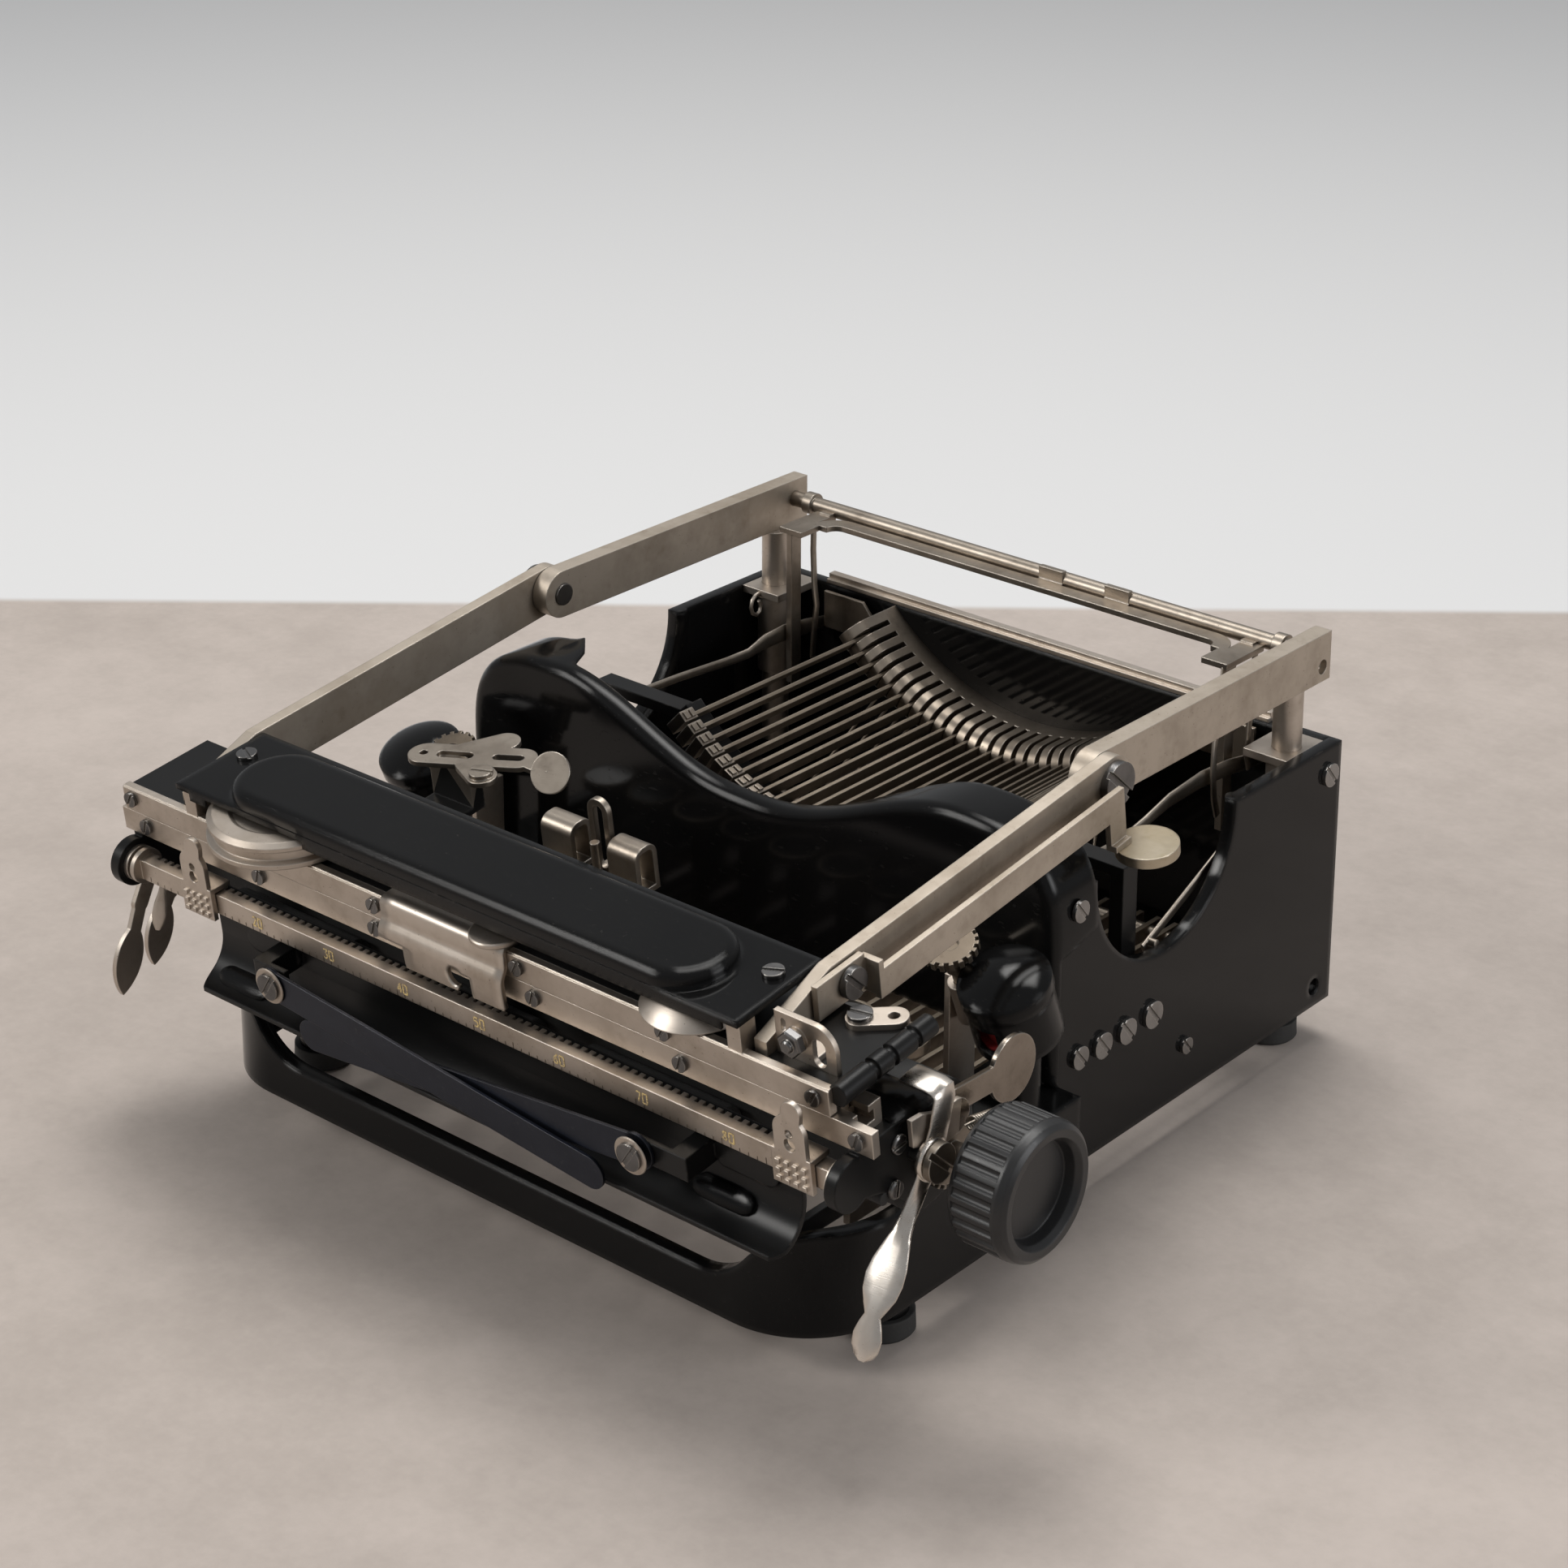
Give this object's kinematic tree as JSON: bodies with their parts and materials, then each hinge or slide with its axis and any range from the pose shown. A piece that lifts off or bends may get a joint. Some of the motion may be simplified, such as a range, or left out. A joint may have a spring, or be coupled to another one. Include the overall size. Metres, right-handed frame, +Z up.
{
  "type": "folding portable typewriter",
  "caption": "Folding portable typewriter: a black keyboard base with a type basket, and a nickel carriage with platen that swings up on side arms and folds down over the keys.",
  "frame": {"origin": "middle of the footprint on the floor, folded", "axes": "+X to the machine's right along the platen, +Y to its rear, +Z up"},
  "size_m": [0.2694, 0.2392, 0.1139],
  "materials": {
    "cast_frame": "light alloy casting under gloss black lacquer",
    "black_lacquer": "gloss black lacquer, lightly worn",
    "nickel": "aged nickel plate",
    "steel": "bare dark steel",
    "blued_steel": "blued steel",
    "rubber": "matt black rubber",
    "hard_rubber": "satin black hard rubber",
    "key_black": "black card under a clear face",
    "brass": "worn plated brass",
    "ribbon": "inked ribbon on a reel"
  },
  "bodies": {
    "base": {"keyboard_frame": "cast_frame", "side_walls": "cast_frame", "feet": "rubber", "foot_cups": "black_lacquer", "rear_plate": "cast_frame", "rear_bar": "nickel", "front_shield": "black_lacquer", "type_segment": "nickel", "typebars": "steel", "type_rest": "nickel", "key_levers": "nickel", "key_faces": "key_black", "lever_comb": "nickel", "spool_cups": "black_lacquer", "post_bushings": "nickel", "panel_screws": "blued_steel"},
    "shift_frame": {"shift_posts": "nickel", "rear_links": "nickel", "cross_rod": "nickel", "universal_bar": "nickel"},
    "carriage_frame": {"front_links": "nickel", "frame_screws": "blued_steel", "frame_plate": "black_lacquer", "frame_rail": "nickel", "guide_bar": "steel", "cover": "black_lacquer", "bell": "nickel", "centre_bracket": "nickel", "type_guide": "nickel", "escapement_bracket": "nickel", "end_bracket": "nickel"},
    "drum": {"drum": "nickel"},
    "backspace": {"backspace_lever": "nickel", "backspace_key": "brass"},
    "carriage": {"carriage_rail": "nickel", "end_plates": "black_lacquer", "scale_rail": "nickel", "paper_table": "black_lacquer", "feed_rolls": "rubber", "carriage_screws": "blued_steel"},
    "platen": {"platen": "rubber", "platen_shaft": "nickel", "platen_knob": "hard_rubber"},
    "line_space": {"line_space_lever": "nickel"},
    "carriage_release": {"carriage_release": "nickel"},
    "paper_release": {"paper_release": "nickel"},
    "margin_left": {"margin_stop_left": "nickel"},
    "margin_right": {"margin_stop_right": "nickel"},
    "paper_arm_left": {"paper_arm_left": "blued_steel"},
    "paper_arm_right": {"paper_arm_right": "blued_steel"},
    "spool_left": {"spool_left": "ribbon"},
    "spool_right": {"spool_right": "ribbon"},
    "gear_left": {"gear_left": "nickel"},
    "gear_right": {"gear_right": "nickel"},
    "typebar": {"live_typebar": "steel"},
    "key": {"live_key": "nickel", "live_key_face": "key_black"},
    "space_bar": {"space_bar": "hard_rubber"},
    "shift_keys": {"shift_keys": "nickel"}
  },
  "joints": [
    {"name": "shift_lift", "type": "slide", "parent": "base", "child": "shift_frame", "axis": [0, 0, 1], "range_m": [0, 0.012]},
    {"name": "carriage_fold", "type": "hinge", "parent": "shift_frame", "child": "carriage_frame", "pos_m": [-0.01525, 0.01903, 0.1073], "axis": [1, 0, 0], "range_deg": [-191, 0]},
    {"name": "carriage_slide", "type": "slide", "parent": "carriage_frame", "child": "carriage", "axis": [1, 0, 0], "range_m": [-0.095, 0.095]},
    {"name": "drum_turn", "type": "hinge", "parent": "carriage_frame", "child": "drum", "pos_m": [-0.07875, -0.0989, 0.09136], "axis": [0, -0.134, 0.991], "range_deg": [-270, 270]},
    {"name": "backspace_press", "type": "hinge", "parent": "carriage_frame", "child": "backspace", "pos_m": [0.08115, -0.08061, 0.09564], "axis": [1, 0, 0], "range_deg": [0, 3.4], "stiffness_Nm_per_rad": 0.6, "springref_deg": -8.59},
    {"name": "platen_spin", "type": "hinge", "parent": "carriage", "child": "platen", "pos_m": [-0.01525, -0.07783, 0.06242], "axis": [1, 0, 0], "continuous": true},
    {"name": "line_space_pull", "type": "hinge", "parent": "carriage", "child": "line_space", "pos_m": [0.11175, -0.08854, 0.06702], "axis": [1, 0, 0], "range_deg": [-22, 0], "stiffness_Nm_per_rad": 0.02, "springref_deg": 28.65},
    {"name": "carriage_release_press", "type": "hinge", "parent": "carriage", "child": "carriage_release", "pos_m": [-0.13125, -0.09694, 0.06942], "axis": [1, 0, 0], "range_deg": [0, 12], "stiffness_Nm_per_rad": 0.02, "springref_deg": -22.92},
    {"name": "paper_release_turn", "type": "hinge", "parent": "carriage", "child": "paper_release", "pos_m": [-0.13325, -0.08834, 0.06554], "axis": [1, 0, 0], "range_deg": [-15, 0]},
    {"name": "left_margin_slide", "type": "slide", "parent": "carriage", "child": "margin_left", "axis": [1, 0, 0], "range_m": [0, 0.08]},
    {"name": "right_margin_slide", "type": "slide", "parent": "carriage", "child": "margin_right", "axis": [1, 0, 0], "range_m": [-0.078, 0]},
    {"name": "left_paper_arm_swing", "type": "hinge", "parent": "carriage", "child": "paper_arm_left", "pos_m": [-0.06625, -0.1166, 0.05808], "axis": [0, 0.991, 0.134], "range_deg": [0, 22]},
    {"name": "right_paper_arm_swing", "type": "hinge", "parent": "carriage", "child": "paper_arm_right", "pos_m": [0.05175, -0.1166, 0.05808], "axis": [0, 0.991, 0.134], "range_deg": [-22, 0]},
    {"name": "left_spool_spin", "type": "hinge", "parent": "base", "child": "spool_left", "pos_m": [-0.11255, -0.02497, 0.0736], "axis": [0, -0.3746, 0.9272], "continuous": true},
    {"name": "right_spool_spin", "type": "hinge", "parent": "base", "child": "spool_right", "pos_m": [0.08205, -0.02497, 0.0736], "axis": [0, -0.3746, 0.9272], "continuous": true},
    {"name": "left_gear_spin", "type": "hinge", "parent": "base", "child": "gear_left", "pos_m": [-0.09825, -0.02697, 0.0779], "axis": [0, -0.3746, 0.9272], "continuous": true},
    {"name": "right_gear_spin", "type": "hinge", "parent": "base", "child": "gear_right", "pos_m": [0.06775, -0.02697, 0.0779], "axis": [0, -0.3746, 0.9272], "continuous": true},
    {"name": "typebar_swing", "type": "hinge", "parent": "base", "child": "typebar", "pos_m": [-0.01315, 0.10307, 0.0574], "axis": [0.9996, 0, 0.0278], "range_deg": [-90, 0], "stiffness_Nm_per_rad": 0.004, "springref_deg": 17.19},
    {"name": "key_press", "type": "hinge", "parent": "base", "child": "key", "pos_m": [-0.01525, 0.08903, 0.0285], "axis": [1, 0, 0], "range_deg": [0, 4.79]},
    {"name": "space_press", "type": "hinge", "parent": "base", "child": "space_bar", "pos_m": [-0.01525, 0.08903, 0.0285], "axis": [1, 0, 0], "range_deg": [0, 2.6], "stiffness_Nm_per_rad": 0.6, "springref_deg": -22.92},
    {"name": "shift_key_press", "type": "hinge", "parent": "base", "child": "shift_keys", "pos_m": [-0.01525, 0.08903, 0.0285], "axis": [1, 0, 0], "range_deg": [0, 3.8]}
  ],
  "couplings": [
    {"joint": "drum_turn", "follows": "carriage_slide", "rad_per_m": 48.781},
    {"joint": "left_gear_spin", "follows": "left_spool_spin", "ratio": -1},
    {"joint": "right_gear_spin", "follows": "right_spool_spin", "ratio": -1},
    {"joint": "key_press", "follows": "typebar_swing", "ratio": -0.053056},
    {"joint": "shift_key_press", "follows": "shift_lift", "rad_per_m": 5.3763}
  ]
}
